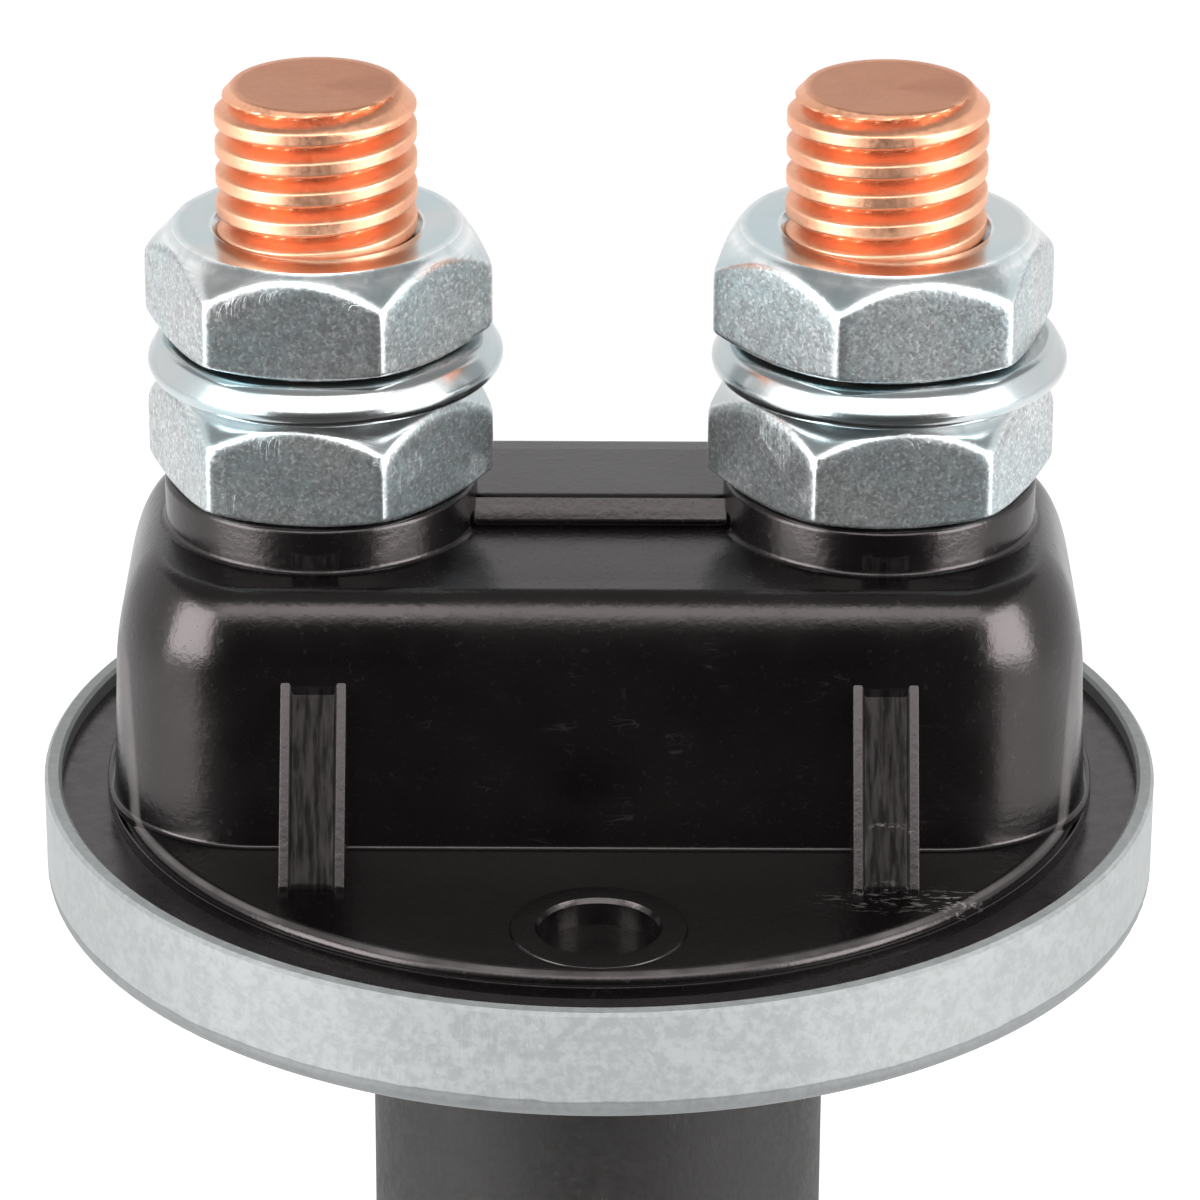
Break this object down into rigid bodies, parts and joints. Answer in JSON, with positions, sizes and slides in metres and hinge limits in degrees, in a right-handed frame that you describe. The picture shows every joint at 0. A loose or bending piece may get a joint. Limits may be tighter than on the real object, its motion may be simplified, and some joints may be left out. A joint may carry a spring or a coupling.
{
  "type": "battery disconnect switch",
  "caption": "Panel-mounted rotary battery isolator with a round die-cast cup, black terminal block, copper studs with zinc-plated nuts, and an ON/OFF lever behind the panel.",
  "frame": {"origin": "centre of the housing's panel face, on the lever's axis", "axes": "+Z along the terminal studs, away from the panel; the lever is on -Z; X from the left stud to the right stud; the lever at OFF points to +Y"},
  "size_m": [0.072, 0.094, 0.0889],
  "materials": {
    "zinc_casting": "matt, lightly blasted die-cast zinc",
    "black_moulding": "glossy compression-moulded thermoset with a soft sheen",
    "gasket_rubber": "matt black rubber",
    "black_steel": "black oxide spring steel",
    "copper": "bright drawn copper",
    "zinc_plate": "bright zinc plating with a faint blue tint",
    "plate_aluminium": "satin anodised sheet with black lettering",
    "shaft_steel": "turned steel",
    "ball_steel": "polished bearing steel",
    "spring_steel": "drawn spring wire",
    "acetal": "natural off-white acetal",
    "glass_nylon": "natural glass-filled nylon",
    "lever_plastic": "finely grained dark grey nylon"
  },
  "bodies": {
    "switch_body": {"housing": "zinc_casting", "base_moulding": "black_moulding", "base_gasket": "gasket_rubber", "retaining_ring": "black_steel", "stud_left": "copper", "stud_right": "copper", "lower_nut_left": "zinc_plate", "lower_nut_right": "zinc_plate", "lock_washer_left": "zinc_plate", "lock_washer_right": "zinc_plate", "upper_nut_left": "zinc_plate", "upper_nut_right": "zinc_plate", "index_plate": "plate_aluminium", "tooth_washer": "zinc_plate", "stem_nut": "zinc_plate", "shaft_seal": "gasket_rubber", "thrust_washer": "acetal", "return_spring": "spring_steel"},
    "rotor": {"shaft": "shaft_steel", "cam_rotor": "acetal", "shaft_clip": "spring_steel", "detent_balls": "ball_steel", "detent_springs": "spring_steel", "lever_handle": "lever_plastic", "handle_screw": "zinc_plate", "handle_spring_washer": "zinc_plate"},
    "contact_carriage": {"contact_carrier": "glass_nylon", "contact_bridge": "copper", "contact_spring": "spring_steel", "bridge_clip": "spring_steel"}
  },
  "joints": [
    {"name": "lever_turn", "type": "hinge", "parent": "switch_body", "child": "rotor", "pos_m": [0, 0, 0], "axis": [0, 0, 1], "range_deg": [0, 90]},
    {"name": "carrier_lift", "type": "slide", "parent": "switch_body", "child": "contact_carriage", "axis": [0, 0, 1], "range_m": [0, 0.003], "deforming": ["return_spring"]}
  ],
  "couplings": [
    {"joint": "lever_turn", "follows": "carrier_lift", "rad_per_m": 523.59}
  ]
}
